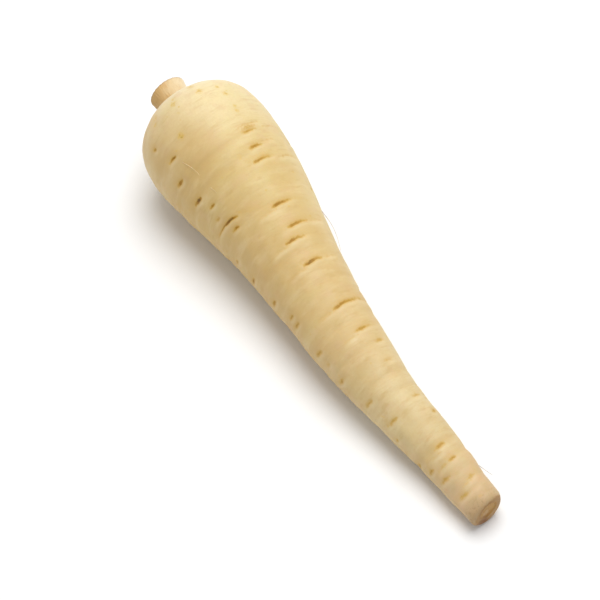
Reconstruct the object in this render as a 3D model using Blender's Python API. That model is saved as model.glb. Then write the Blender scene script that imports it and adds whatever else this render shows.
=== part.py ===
"""A parsnip lying on its side: the tapering taproot, and the stub of its cut leaf stalks.

The root's axis runs along +X from the crown to the cut tip, and +Z is up. The skin is a stack of
rings round a gently swaying centre line. Side-root scars, growth bands and swellings are relief
on those rings. Places on the root are given as `along`, the distance from the crown, and `turn`,
the angle round it from the top, positive towards +Y. Sizes are in millimetres until a mesh is made.
"""

import math
import random

import bmesh
import bpy
import numpy as np
from mathutils import Matrix, Vector

MM = 0.001

# The taper: distance along the root, and its radius there.
TAPER = [
    (0, 14.8), (3, 19.7), (7, 24.3), (12, 27.4), (20, 29.1), (34, 28.8), (50, 26.8), (70, 23.3),
    (90, 20.1), (120, 16.6), (150, 14.1), (175, 11.3), (195, 9.85), (216, 8.45), (226.7, 7.9),
]
# The centre line's sway towards +Y, which leaves the root lying flat.
SWAY = [
    (-3, -1.4), (3, -1.4), (30, 0), (60, 0.2), (110, -2.4), (145, -3.5), (172, -2.6), (200, -0.2),
    (228, 1.5),
]
# The crown's lip, from the stump's socket out to where the taper starts: along and radius.
CROWN_LIP = [(-1.2, 8.7), (-2.1, 10.2), (-1.6, 12.2)]
CROWN_END = 20
OVAL = 0.012               # share of the radius by which the root is out of round
THREE_SIDED = 0.008

SOCKET_FLOOR = 2.5
SOCKET_RADIUS = 8.4
TIP_FACE = 229.0
TIP_RIM = 2.3              # radius of the rolled edge round the cut face
TIP_CUT_TURN = 7.5         # degrees that the cut face looks aside, towards +Y
TIP_CUT_TILT = 7.3         # degrees that it looks up
TIP_CUT_REACH = 16.0       # length over which the rings lean over to the cut

STUMP_GAP = 0.3            # clear of the socket all round
STUMP_BASE_EDGE = 0.6
STUMP_SIDE = [(-4, 8.0), (-8, 8.45), (-11.3, 9.0)]
STUMP_CUT = [(-11.8, 8.85), (-12.1, 8.2), (-11.4, 4.5), (-12.1, 0)]
STUMP_SLANT = -3.1         # degrees that its cut end leans
# The stub is wrapped leaf sheaths: where each one laps over the next, in degrees, and how much
# further out than the others it was cut.
SHEATHS = [(75, 0.6), (130, -0.8), (180, 0.7), (222, 0.0)]
SHEATH_STEP = 0.5
SHEATH_EDGE = 0.07         # share of a sheath's width that its step takes
FIBRE_DEPTH = 0.1

LIE_ANGLE = 6.25           # turns the taper down until shoulder and tip both touch the ground
REST_FLAT_DEPTH = 0.45     # skin pressed flat where the root lies

ROW_STEP = 0.9
COLUMNS = 128
ROOT_TRIANGLES = 9500
STUMP_TRIANGLES = 1400

# Side-root scars in the two rows that face up: along, turn in degrees, and width round the root.
SCARS_LEFT_ROW = [
    (17.8, -64, 2.5), (29.4, -56, 5.1), (38.8, -69, 7.4), (50.9, -68, 7.9), (58, -58, 4.2),
    (63.5, -63, 4.1), (69.4, -59, 14.9), (73.3, -52, 6.6), (84, -93, 5), (92.3, -92, 7),
    (106.4, -88, 7.3), (117.7, -73, 4.4), (121.7, -75, 5.9), (137, -75, 6.5), (150.8, -78, 6.1),
    (166.1, -67, 5.2), (178, -57, 6.6), (183.8, -82, 2.5), (196.6, -103, 6), (203.1, -77, 5.2),
    (209.7, -61, 6), (219.5, -50, 7.4),
]
SCARS_TOP_ROW = [
    (40.2, 16, 9.6), (48.7, 14, 9), (54.8, 13, 11.6), (75.7, 6, 10.3), (86.4, 12, 11.3),
    (92.7, -2, 10.3), (104.4, 4, 9.9), (126.3, 20, 18.7), (140, 15, 9.5), (147.6, 28, 6.2),
    (156.6, 22, 3.4), (175.4, 28, 5.2), (184.5, 41, 4), (198.2, -13, 6), (205.3, -8, 4.4),
    (205.5, -37, 6.9), (215.3, -1, 7.2),
]
# The rows that face down and away follow a rule: the middle of each row, in degrees.
UNDER_ROWS = (101, 152, -145)
UNDER_ROW_SPREAD = 13
UNDER_ROW_ENDS = (28, 220)
UNDER_SCAR_GAPS = (7, 19)
UNDER_SCAR_WIDTHS = (3.5, 11)
UNDER_SCAR_SHRINK = 0.35   # how much narrower the scars are at the tip
SCAR_SEED = 5
SCAR_HALF_WIDTH = 0.8      # half the width of the groove, along the root
SCAR_DEPTH = 0.45
SCAR_DEPTH_FOR_WIDTH = 0.07
SCAR_DEEPEST = 1.15
SCAR_ARCH = 0.012          # how strongly a groove curves towards the tip at its ends
SCAR_LIP = 0.3             # height of the swollen skin beside a groove, as a share of its depth

# Soft swellings of the flank: along, turn in degrees, length, width in degrees, height.
SWELLINGS = [
    (190, 60, 12, 45, 0.6), (165, 45, 9, 40, -0.4), (208, 55, 8, 50, 0.4), (128, -80, 14, 40, 0.5),
    (60, 100, 20, 40, 0.6), (95, 170, 25, 50, 0.6), (30, -140, 15, 50, 0.5), (210, -100, 9, 40, 0.4),
]
# Growth bands are shallow furrows that run part of the way round.
BAND_COUNT = 46
BAND_SEED = 11
BAND_ENDS = (25, 222)
BAND_SPANS = (30, 80)
BAND_DEPTHS = (0.12, 0.34)
BAND_HALF_WIDTHS = (1.3, 2.6)


def smooth_through(points, at):
    """Values at the places `at` of a smooth curve through the points, a list of (place, value)."""
    places, values = np.array(points, float).T
    slopes = np.gradient(values, places)
    left = np.clip(np.searchsorted(places, at) - 1, 0, len(places) - 2)
    width = places[left + 1] - places[left]
    part = np.clip((at - places[left]) / width, 0, 1)
    rise = part * part * (3 - 2 * part)
    lean_out = part * (1 - part) ** 2 * width
    lean_in = part * part * (part - 1) * width
    return (values[left] * (1 - rise) + values[left + 1] * rise
            + slopes[left] * lean_out + slopes[left + 1] * lean_in)


def ramp(value, start, end):
    """0 up to start, 1 from end, and smooth between."""
    part = np.clip((value - start) / (end - start), 0, 1)
    return part * part * (3 - 2 * part)


def turned_away(turn, degrees):
    """Angle in radians from the given place round the root, between -pi and pi."""
    return (turn - math.radians(degrees) + math.pi) % (2 * math.pi) - math.pi


def even_steps(path, step):
    """Points at about even steps along a smooth curve through a path of (along, radius) points."""
    path = np.array(path, float)
    length = np.append(0, np.cumsum(np.hypot(*np.diff(path, axis=0).T)))
    places = np.linspace(0, length[-1], int(length[-1] / step) + 2)
    columns = [smooth_through(list(zip(length, column)), places) for column in path.T]
    return np.stack(columns, axis=1)


def straight(start, end, step):
    """Points from start up to, and without, end."""
    count = max(1, round(math.dist(start, end) / step))
    return np.linspace(start, end, count, endpoint=False)


def arc(centre, radius, first, last, count):
    """Points of an arc in the (along, radius) plane, from the first angle to the last."""
    angles = np.radians(np.linspace(first, last, count))
    return np.stack([centre[0] + radius * np.sin(angles), centre[1] + radius * np.cos(angles)], 1)


def root_profile():
    """(along, radius) of each ring, from the socket's floor over the crown and down to the tip."""
    tip_radius = TAPER[-1][1]
    return np.concatenate([
        straight((SOCKET_FLOOR, 0), (SOCKET_FLOOR, SOCKET_RADIUS), 4 * ROW_STEP),
        straight((SOCKET_FLOOR, SOCKET_RADIUS), CROWN_LIP[0], 2 * ROW_STEP),
        even_steps(CROWN_LIP + TAPER, ROW_STEP),
        arc((TAPER[-1][0], tip_radius - TIP_RIM), TIP_RIM, 15, 90, 5),
        straight((TIP_FACE, tip_radius - TIP_RIM - 0.8), (TIP_FACE, 0), 2 * ROW_STEP),
        [(TIP_FACE, 0)],
    ])


def scars():
    """(along, turn, width) of every side-root scar."""
    draw = random.Random(SCAR_SEED)
    found = SCARS_LEFT_ROW + SCARS_TOP_ROW
    for middle in UNDER_ROWS:
        along = UNDER_ROW_ENDS[0] + draw.uniform(-4, 6)
        while along < UNDER_ROW_ENDS[1]:
            width = draw.uniform(*UNDER_SCAR_WIDTHS) * (1 - UNDER_SCAR_SHRINK * along / TIP_FACE)
            found = found + [(along, middle + draw.gauss(0, UNDER_ROW_SPREAD), width)]
            along += draw.uniform(*UNDER_SCAR_GAPS)
    return found


def scar_relief(along, turn):
    """Each scar is a groove across the root, with the skin swollen a little on both sides of it."""
    relief = np.zeros_like(along)
    for place, degrees, width in scars():
        reach = turned_away(turn, degrees) * smooth_through(TAPER, np.array([float(place)]))
        inside = np.exp(-(2 * reach / width) ** 4)
        around = np.exp(-(1.3 * reach / width) ** 2)
        depth = min(SCAR_DEPTH + SCAR_DEPTH_FOR_WIDTH * width, SCAR_DEEPEST)
        away = (along - place - SCAR_ARCH * reach**2) / SCAR_HALF_WIDTH
        relief -= depth * np.exp(-away**2) * inside
        relief += SCAR_LIP * depth * np.exp(-((np.abs(away) - 2.4) / 1.4) ** 2) * around
    return relief


def band_relief(along, turn):
    draw = random.Random(BAND_SEED)
    relief = np.zeros_like(along)
    for _ in range(BAND_COUNT):
        place, degrees = draw.uniform(*BAND_ENDS), draw.uniform(-180, 180)
        span, depth = draw.uniform(*BAND_SPANS), draw.uniform(*BAND_DEPTHS)
        across = (along - place) / draw.uniform(*BAND_HALF_WIDTHS)
        inside = np.exp(-(turned_away(turn, degrees) / math.radians(span)) ** 2)
        relief -= depth * np.exp(-across**2) * inside
    return relief


def swelling_relief(along, turn):
    relief = np.zeros_like(along)
    for place, degrees, length, span, height in SWELLINGS:
        inside = np.exp(-(turned_away(turn, degrees) / math.radians(span)) ** 2)
        relief += height * np.exp(-((along - place) / length) ** 2) * inside
    return relief


def root_rings():
    """Points of the root before it is laid down, as rings of COLUMNS points."""
    along, radius = (column[:, None] for column in root_profile().T)
    turn = np.linspace(0, 2 * math.pi, COLUMNS, endpoint=False)[None, :]
    along, radius, turn = np.broadcast_arrays(along, radius, turn)
    uneven = OVAL * np.cos(2 * turn - 0.6) + THREE_SIDED * np.cos(3 * turn + along / 45)
    relief = radius * uneven + scar_relief(along, turn) + band_relief(along, turn)
    relief += swelling_relief(along, turn)
    on_crown = ramp(radius, CROWN_LIP[0][1], 20)
    on_flank = ramp(radius, 5, 8)
    out = radius + relief * np.where(along < CROWN_END, on_crown, on_flank)

    up, aside = out * np.cos(turn), out * np.sin(turn)
    lean = ramp(along, TIP_FACE - TIP_CUT_REACH, TIP_FACE)
    lean_turn, lean_tilt = math.tan(math.radians(TIP_CUT_TURN)), math.tan(math.radians(TIP_CUT_TILT))
    sway = smooth_through(SWAY, along)
    heading = np.arctan(smooth_through(SWAY, along + 0.5) - smooth_through(SWAY, along - 0.5))
    x = along - aside * np.sin(heading) - lean * (lean_turn * aside + lean_tilt * up)
    return np.stack([x, sway + aside * np.cos(heading), up], axis=2)


def stump_profile():
    """(along, radius) of each ring of the stump, from its base out to its cut end."""
    radius = SOCKET_RADIUS - STUMP_GAP
    base = SOCKET_FLOOR - STUMP_GAP
    corner = (base - STUMP_BASE_EDGE, radius)
    return np.concatenate([
        straight((base, 0), (base, radius - STUMP_BASE_EDGE), 3 * ROW_STEP),
        straight((base, radius - STUMP_BASE_EDGE), corner, ROW_STEP),
        even_steps([corner] + STUMP_SIDE, ROW_STEP),
        even_steps(STUMP_CUT, ROW_STEP),
    ])


def sheaths_at(turn):
    """How far in the skin is, and how far out it was cut, at each turn round the stump."""
    edges, lengths = np.array(SHEATHS).T
    degrees = np.degrees(turn)
    sheath = np.searchsorted(edges, degrees) % len(edges)
    start = edges[sheath - 1]
    part = ((degrees - start) % 360) / ((edges[sheath] - start) % 360)
    return SHEATH_STEP * (1 - part) * ramp(part, 0, SHEATH_EDGE), lengths[sheath - 1]


def stump_rings():
    """Points of the stump before it is laid down: leaf sheaths wrapped over each other."""
    along, radius = (column[:, None] for column in stump_profile().T)
    turn = np.linspace(0, 2 * math.pi, COLUMNS, endpoint=False)[None, :]
    along, radius, turn = np.broadcast_arrays(along, radius, turn)
    inward, length = sheaths_at(turn + 0.15 * np.sin(along / 4))
    fibre = FIBRE_DEPTH * np.sin(17 * turn + along / 5) ** 2
    out = radius - (inward + fibre) * ramp(radius, 2, 7)
    aside = out * np.sin(turn)
    end = ramp(-along, 6, 12)
    x = along + end * (math.tan(math.radians(STUMP_SLANT)) * aside - length * ramp(radius, 1, 5))
    return np.stack([x, SWAY[0][1] + aside, out * np.cos(turn)], axis=2)


def laid_down(rings, lift=None):
    """The rings turned down by LIE_ANGLE and lifted so that REST_FLAT_DEPTH of them is below 0."""
    angle = math.radians(LIE_ANGLE)
    x, y, z = np.moveaxis(rings, 2, 0)
    low = np.stack([x * math.cos(angle) + z * math.sin(angle), y,
                    z * math.cos(angle) - x * math.sin(angle)], axis=2)
    lift = -low[..., 2].min() - REST_FLAT_DEPTH if lift is None else lift
    return low + np.array([0, 0, lift]), lift


def skin_from_rings(name, rings):
    """A closed mesh over the rings. The first and last ring are each drawn in to one point."""
    build = bmesh.new()
    first = build.verts.new(rings[0].mean(axis=0) * MM)
    last = build.verts.new(rings[-1].mean(axis=0) * MM)
    rows = [[build.verts.new(point * MM) for point in ring] for ring in rings[1:-1]]
    for column in range(COLUMNS):
        after = (column + 1) % COLUMNS
        build.faces.new((first, rows[0][after], rows[0][column]))
        build.faces.new((last, rows[-1][column], rows[-1][after]))
        for near, far in zip(rows, rows[1:]):
            build.faces.new((near[column], near[after], far[after], far[column]))
    bmesh.ops.recalc_face_normals(build, faces=build.faces)
    mesh = bpy.data.meshes.new(name)
    build.to_mesh(mesh)
    build.free()
    return mesh


def thinned(name, mesh, triangles):
    """An object of the mesh with about this many triangles, fewest where it is smooth."""
    part = bpy.data.objects.new(name, mesh)
    bpy.context.scene.collection.objects.link(part)
    thin = part.modifiers.new("thin", "DECIMATE")
    thin.ratio = triangles / sum(len(face.vertices) - 2 for face in mesh.polygons)
    evaluated = part.evaluated_get(bpy.context.evaluated_depsgraph_get())
    part.data = bpy.data.meshes.new_from_object(evaluated)
    part.modifiers.clear()
    bpy.data.meshes.remove(mesh)
    part.data.name = name
    return part


def press_flat(part):
    """Cuts the mesh off level with the ground, and closes each cut with a flat face."""
    build = bmesh.new()
    build.from_mesh(part.data)
    everything = build.verts[:] + build.edges[:] + build.faces[:]
    cut = bmesh.ops.bisect_plane(build, geom=everything, dist=1e-6, plane_co=(0, 0, 0),
                                 plane_no=(0, 0, -1), clear_outer=True)
    edges = [item for item in cut["geom_cut"] if isinstance(item, bmesh.types.BMEdge)]
    bmesh.ops.holes_fill(build, edges=edges, sides=0)
    build.to_mesh(part.data)
    build.free()


def plain_material(name, colour, roughness):
    material = bpy.data.materials.new(name)
    material.use_nodes = True
    shader = material.node_tree.nodes["Principled BSDF"]
    shader.inputs["Base Color"].default_value = (*colour, 1)
    shader.inputs["Roughness"].default_value = roughness
    shader.inputs["Metallic"].default_value = 0
    return material


def finish(part, material):
    part.data.materials.clear()
    part.data.materials.append(material)
    part.data.shade_smooth()
    part.data.set_sharp_from_angle(angle=math.radians(40))


def centre_on_ground(parts):
    """Puts the origin under the middle of the whole parsnip, in its meshes."""
    corners = [vertex.co for part in parts for vertex in part.data.vertices]
    middle_x = (min(c.x for c in corners) + max(c.x for c in corners)) / 2
    middle_y = (min(c.y for c in corners) + max(c.y for c in corners)) / 2
    for part in parts:
        part.data.transform(Matrix.Translation(Vector((-middle_x, -middle_y, 0))))


def main():
    for item in list(bpy.data.objects):
        bpy.data.objects.remove(item)
    rings, lift = laid_down(root_rings())
    root = thinned("root", skin_from_rings("root", rings), ROOT_TRIANGLES)
    rings, _ = laid_down(stump_rings(), lift)
    stump = thinned("leaf_stump", skin_from_rings("leaf_stump", rings), STUMP_TRIANGLES)
    press_flat(root)
    centre_on_ground([root, stump])
    finish(root, plain_material("root_skin", (0.79, 0.64, 0.36), 0.55))
    finish(stump, plain_material("cut_stalk", (0.50, 0.33, 0.17), 0.75))


main()
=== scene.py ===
"""The looks of a parsnip: its scarred skin, the stub of its leaf stalks, and its hair roots.

Places on the root are given as `along`, the distance from the crown towards the tip, and `turn`,
the angle round the root from its top, positive towards +Y. Shapes are worked out in millimetres,
as in part.py, and become metres when a mesh is made.
"""

import math
import random

import bmesh
import bpy
import numpy as np
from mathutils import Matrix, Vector


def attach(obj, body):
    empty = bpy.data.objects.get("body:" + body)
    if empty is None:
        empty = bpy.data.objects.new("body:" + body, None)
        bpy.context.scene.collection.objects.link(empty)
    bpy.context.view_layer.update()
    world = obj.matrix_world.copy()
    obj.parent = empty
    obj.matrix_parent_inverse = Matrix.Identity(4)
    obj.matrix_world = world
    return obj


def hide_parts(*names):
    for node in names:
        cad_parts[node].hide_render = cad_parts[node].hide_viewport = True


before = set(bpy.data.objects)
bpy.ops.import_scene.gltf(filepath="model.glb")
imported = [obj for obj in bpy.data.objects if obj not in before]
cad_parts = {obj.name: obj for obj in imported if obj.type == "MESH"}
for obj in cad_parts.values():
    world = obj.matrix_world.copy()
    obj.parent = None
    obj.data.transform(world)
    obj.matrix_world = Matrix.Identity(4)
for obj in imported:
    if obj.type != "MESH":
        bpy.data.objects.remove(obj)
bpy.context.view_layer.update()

MM = 0.001

# The root's main form. These values are the ones that the solids are made from.
TAPER = [
    (0, 14.8), (3, 19.7), (7, 24.3), (12, 27.4), (20, 29.1), (34, 28.8), (50, 26.8), (70, 23.3),
    (90, 20.1), (120, 16.6), (150, 14.1), (175, 11.3), (195, 9.85), (216, 8.45), (226.7, 7.9),
]
SWAY = [
    (-3, -1.4), (3, -1.4), (30, 0), (60, 0.2), (110, -2.4), (145, -3.5), (172, -2.6), (200, -0.2),
    (228, 1.5),
]
CROWN_LIP = [(-1.2, 8.7), (-2.1, 10.2), (-1.6, 12.2)]
CROWN_END = 20
OVAL = 0.012
THREE_SIDED = 0.008
SOCKET_FLOOR = 2.5
SOCKET_RADIUS = 8.4
TIP_FACE = 229.0
TIP_RIM = 2.3
TIP_CUT_TURN = 7.5
TIP_CUT_TILT = 7.3
TIP_CUT_REACH = 16.0
LIE_ANGLE = 6.25
REST_FLAT_DEPTH = 0.45
# The cut face: its ring and its pale core lie off its middle. Places on it are (aside, up).
RING_MIDDLE = (-0.2, 1.9)
RING_RADIUS = 4.3
CORE_MIDDLE = (-1.7, 0.55)
CORE_RADIUS = 1.6
FOOT_MIDDLE = (-2.7, -4.6)  # of the painted shade at the foot of the face, in dark brown
FACE_EDGE = 5.6
RING_SUNK = 0.36           # how deep the ring lies below the face
RING_LIP = 0.16            # how high the lip round it stands
CORE_RISE = 0.3            # how far the core stands out of the ring
CORE_MOAT = 0.1            # depth of the dip round the core
RAYS = 19                  # fine ridges that run out from the core
RAY_HEIGHT = 0.05

# Fineness of the skin, before and after thinning.
ROW_STEP = 0.38
COLUMNS = 420
ROOT_TRIANGLES = 188000
STUB_COLUMNS = 300
STUB_ROW_STEP = 0.22
STUB_TRIANGLES = 42000

# Side-root scars: along, turn, width round the root, opening of the slit, where the slit is widest
# (-1 at its low-turn end, 1 at its high-turn end), and how strong and brown the scar is.
SCARS_TOP_ROW = [
    (39.5, 15.5, 9, 2.4, 0.0, 0.2), (48.5, 13, 9, 1.0, -0.3, 0.62), (54.8, 13, 12.6, 0.9, -0.6, 0.64),
    (75.7, 6, 11.6, 1.2, -0.4, 0.78), (86.4, 12, 12.2, 1.1, -0.5, 0.68), (92.7, -2, 11.4, 1.1, -0.45, 0.76),
    (104.4, 4, 11, 1.2, -0.35, 0.86), (126.3, 20, 19, 1.0, -0.62, 0.66), (140, 15, 10.5, 0.9, -0.2, 0.5),
    (147.6, 28, 6.2, 0.8, 0.0, 0.3), (157, 21, 5, 0.8, 0.0, 0.2), (175.4, 28, 7, 1.1, 0.0, 0.22),
    (184.5, 41, 4, 0.9, 0.0, 0.42), (198.2, -13, 7, 1.0, 0.4, 0.52), (205.3, -8, 5, 0.8, 0.3, 0.52),
    (205.7, -37, 8, 0.6, 0.0, 0.15), (215.3, 1, 5.6, 1.0, 0.3, 0.26),
]
SCARS_LEFT_ROW = [
    (18.3, -66, 3.2, 1.2, 0.2, 0.6), (29.8, -57.5, 6.6, 1.1, 0.45, 0.82), (38.8, -69, 7, 1.6, 0.1, 0.74),
    (51, -68.5, 7.9, 1.6, 0.35, 0.98), (58.2, -58.5, 5, 0.9, 0.3, 0.7), (63.8, -65, 4.6, 0.9, 0.2, 0.36),
    (68.2, -65.2, 19.4, 1.1, 0.55, 0.92), (73.5, -55, 5.6, 0.9, 0.4, 0.74), (81.2, -90, 5.6, 1.0, 0.0, 0.45),
    (92.3, -92, 7, 1.3, 0.0, 0.8), (106.6, -85, 7, 1.3, 0.0, 0.6), (117.7, -73, 4.8, 1.0, 0.2, 0.56),
    (121.7, -75, 6.4, 1.0, 0.2, 0.56), (137, -75, 6.5, 1.2, 0.2, 0.44), (143, -73, 4, 0.8, 0.0, 0.2),
    (151.4, -80, 6.4, 1.0, 0.2, 0.44), (166.1, -67, 6.6, 0.9, 0.3, 0.34), (178, -57, 8.2, 0.9, 0.35, 0.36),
    (183.8, -82, 2.2, 0.8, 0.0, 0.36), (196.6, -103, 6, 1.2, 0.0, 0.42), (203.1, -77, 5.6, 1.0, 0.2, 0.45),
    (209.9, -60, 7.4, 1.0, 0.3, 0.34), (219.5, -50, 8.2, 1.1, 0.2, 0.28),
]
# A short darker crack that runs into the widest scar.
SCAR_CRACKS = [(40.9, 15, 9.4, 0.8, -0.4, 0.52)]
# Faint creases that carry some of the scars further round the root, in the form of scars.
SCAR_CREASES = [
    (37.7, 16, 15, 0.5, 0.0, 0.12), (40, 38, 10, 0.5, 0.0, 0.08), (47.2, 26, 11, 0.5, -0.2, 0.12),
    (55.2, 42, 17, 0.5, -0.3, 0.12), (77.8, -15, 9, 0.5, 0.3, 0.1), (86.5, 40, 10, 0.4, -0.3, 0.08),
    (94.2, -25, 10, 0.5, 0.4, 0.1), (106.2, -20, 8, 0.5, 0.4, 0.12), (104.3, 31, 9, 0.4, -0.3, 0.1),
    (128, -26, 10, 0.5, 0.4, 0.12), (142, -14, 8, 0.4, 0.3, 0.08), (200.5, -33, 6, 0.5, 0.3, 0.1),
    (216.7, -18, 6, 0.5, 0.3, 0.1),
]
TOP_ROW_SLANT = -0.05
LEFT_ROW_SLANT = 0.1
UNDER_ROWS = (101, 152, -145)
UNDER_ROW_SPREAD = 13
UNDER_ROW_ENDS = (28, 220)
UNDER_SCAR_GAPS = (7, 19)
UNDER_SCAR_WIDTHS = (3.5, 11)
UNDER_SCAR_SHRINK = 0.35
UNDER_SCAR_OPENINGS = (0.9, 1.6)
UNDER_SCAR_LEANS = (-0.45, 0.45)
UNDER_SCAR_STRENGTHS = (0.35, 0.9)
SCAR_SEED = 5
UNDER_LOOK_SEED = 23

SCAR_SURROUND = 9          # how far from a scar its relief and stain reach, along the root
SCAR_DEPTH = 0.17
SCAR_DEPTH_FOR_WIDTH = 0.022
SCAR_DEEPEST = 0.42
SCAR_ARCH = 0.012
SCAR_WOBBLE = 0.08
SCAR_DIP = 0.35            # depth of the soft dip on the crown side, as a share of the slit's
SCAR_LIP = 0.16            # height of the swollen skin on the tip side
SLIT_CLOSES = 0.8          # how far outside a slit its ends count, so that no line runs on
SLIT_TAIL = 0.25           # how open a slit's thin ends are, as a share of its opening
BLUNT_END, TAIL_END = 1.1, 2.0     # how quickly a slit narrows to its near end and its far end
STAIN_REACH = 1.7
STAIN_SHIFT = 1.0          # stains lie a little to the crown side of their slits

SWELLINGS = [
    (190, 60, 12, 45, 0.6), (165, 45, 9, 40, -0.4), (208, 55, 8, 50, 0.4), (128, -80, 14, 40, 0.5),
    (60, 100, 20, 40, 0.6), (95, 170, 25, 50, 0.6), (30, -140, 15, 50, 0.5), (210, -100, 9, 40, 0.4),
]
# Growth bands are furrows that run part of the way round; the scene adds many fine ones.
BAND_ENDS = (25, 222)
BANDS = {"count": 46, "seed": 11, "spans": (30, 80), "depths": (0.12, 0.34), "widths": (1.3, 2.6)}
FINE_BANDS = {"count": 330, "seed": 12, "spans": (8, 34), "depths": (0.02, 0.075),
              "widths": (0.35, 0.9)}
LUMPS = 26                 # waves that together make the skin gently uneven
LUMP_SEED = 31
LUMP_LENGTHS = (7, 22)
LUMP_HEIGHT = 0.085
TIP_LUMPS = 2.4            # how much stronger they are near the tip

# Small yellow-brown spots, most of them on the crown: along, turn, radius, and how dark.
SPOTS = [
    (13.3, 1, 1.7, 0.6), (15.2, 17, 1.0, 0.72), (20.4, 18, 1.4, 0.66), (8, -21, 1.4, 0.5),
    (10.6, -24, 1.6, 0.68), (25.6, -36.5, 1.7, 0.85), (28, 17, 1.1, 0.5), (30.4, 15.5, 1.4, 0.5),
    (7.4, 0, 1.7, 0.55), (8, -47.5, 1.6, 0.45), (10.6, -50, 1.5, 0.45), (50.3, -6.5, 1.1, 0.45),
    (16.4, -25.5, 0.9, 0.3), (69.8, 62, 1.2, 0.9), (224.5, -10, 1.1, 0.75),
    (173.8, -62, 1.0, 0.4), (18, 70, 1.2, 0.8), (10, 120, 1.4, 0.6),
    (16, 165, 1.3, 0.8), (9, -150, 1.4, 0.5), (22, -115, 1.3, 0.8), (97, 60, 1.0, 0.6),
    (34, 130, 1.2, 0.7), (57, -160, 1.1, 0.6), (130, 170, 1.0, 0.5), (182, 120, 1.0, 0.6),
]
SPOT_SHOWS = 0.04          # the faintest mark of a spot that is drawn with care
# Broad patches where the skin is more tan: along, turn, reach, strength.
TAN_PATCHES = [
    (38, -42, 11, 0.7), (24, -66, 8, 0.5), (28, -34, 6, 0.6), (72, -30, 9, 0.4), (100, -50, 12, 0.4),
    (62, 30, 8, 0.25), (112, 20, 9, 0.3), (160, -55, 9, 0.4), (60, 120, 15, 0.5),
    (120, 170, 14, 0.5), (30, -140, 14, 0.5),
]

# The stub of wrapped leaf sheaths.
STUMP_GAP = 0.3
STUMP_BASE_EDGE = 0.6
STUMP_SIDE = [(-4, 8.0), (-8, 8.45), (-11.5, 9.0)]
STUMP_CUT = [(-11.85, 8.9), (-12.1, 8.4), (-11.4, 4.5), (-12.1, 0)]
STUMP_SLANT = -3.1
SHEATHS = [(75, 0.6), (130, -0.8), (180, 0.7), (222, 0.0)]
SHEATH_STEP = 0.5
SHEATH_EDGE = 0.07
SHEATH_WANDER = 0.15        # how far the sheaths' edges wander round the stub, in radians
FIBRE_DEPTH = 0.06
COARSE_FIBRES = 17
FIBRES = 46
FRAY = 0.12                # how uneven the cut edge of the stub is
LAYER_PITCH = 1.55         # thickness of the sheaths, seen on the cut end
LAYER_DEPTH = 0.5
LAYER_GAP = 0.13           # share of a sheath's thickness that the gap beside it takes

# Hair roots: along, turn, length, how many degrees each one bends round the root, how far it
# stands off the skin, and its arch, from 0 for a straight one to 1 for one that comes back to it.
STANDING_HAIRS = [
    (78.5, 72, 21, -2, 1.7, 1.0), (211, 61, 8.2, 3, 2.4, 0.0), (150, 100, 7, 5, 3, 0.6),
    (60, 130, 10, -6, 3, 0.8), (118, 150, 8, 4, 3, 0.4), (190, 150, 7, -5, 3, 0.7),
    (45, -150, 9, 6, 3, 0.5), (176, 165, 6, -4, 2.5, 0.3), (98, 140, 6, 5, 2.5, 0.6),
]
LYING_HAIRS = [
    (34.8, -50.5, 10.3, 4.5, 0.26, 1.0), (52.7, -45.5, 4, 1, 0.22, 1.0), (71, 40, 6, -4, 0.24, 1.0),
    (28, 120, 9, 7, 0.26, 1.0), (88, -160, 7, -5, 0.26, 1.0),
]
HAIR_RADIUS = 0.14
LYING_HAIR_RADIUS = 0.11
HAIR_STEPS = 14
HAIR_SUNK = 0.1            # how deep a hair's root lies below the skin
HAIR_THINS = 0.6           # share of its thickness that a hair loses towards its end

# Camera and light.
CAMERA_AZIMUTH = 57.017
CAMERA_ELEVATION = 53.197
CAMERA_TARGET = (0.00399, -0.01095, 0.025)
CAMERA_DISTANCE = 0.80
CAMERA_LENS = 116.33
CAMERA_SENSOR = 36

# A white room with one large softbox above, and a pale floor. These lengths are in metres.
ROOM_LIGHT = 0.53
KEY_PLACE = (-0.25, 0.27, 1.5)
KEY_SIZE = 1.25
KEY_POWER = 19
KEY_AIM = (0, 0, 0.02)
FLOOR_REACH = 3.0
FLOOR_DROP = 0.00005       # how far the floor lies below the part's flats
FLOOR_TONES = ((0.90, 0.90, 0.90), (0.91, 0.91, 0.91))


# ------------------------------------------------------------------ curves and the root's form

def smooth_through(points, at):
    """Values at the places `at` of a smooth curve through the points, a list of (place, value)."""
    places, values = np.array(points, float).T
    slopes = np.gradient(values, places)
    left = np.clip(np.searchsorted(places, at) - 1, 0, len(places) - 2)
    width = places[left + 1] - places[left]
    part = np.clip((at - places[left]) / width, 0, 1)
    rise = part * part * (3 - 2 * part)
    lean_out = part * (1 - part) ** 2 * width
    lean_in = part * part * (part - 1) * width
    return (values[left] * (1 - rise) + values[left + 1] * rise
            + slopes[left] * lean_out + slopes[left + 1] * lean_in)


def ramp(value, start, end):
    """0 up to start, 1 from end, and smooth between."""
    part = np.clip((value - start) / (end - start), 0, 1)
    return part * part * (3 - 2 * part)


def bump(value, width):
    """1 at value 0, fading smoothly to 0 over the width."""
    return np.exp(-(value / width) ** 2)


def turned_away(turn, degrees):
    """Angle in radians from the given place round the root, between -pi and pi."""
    return (turn - math.radians(degrees) + math.pi) % (2 * math.pi) - math.pi


def even_steps(path, step):
    """Points at about even steps along a smooth curve through a path of (along, radius) points."""
    path = np.array(path, float)
    length = np.append(0, np.cumsum(np.hypot(*np.diff(path, axis=0).T)))
    places = np.linspace(0, length[-1], int(length[-1] / step) + 2)
    columns = [smooth_through(list(zip(length, column)), places) for column in path.T]
    return np.stack(columns, axis=1)


def straight(start, end, step):
    """Points from start up to, and without, end."""
    count = max(1, round(math.dist(start, end) / step))
    return np.linspace(start, end, count, endpoint=False)


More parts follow.
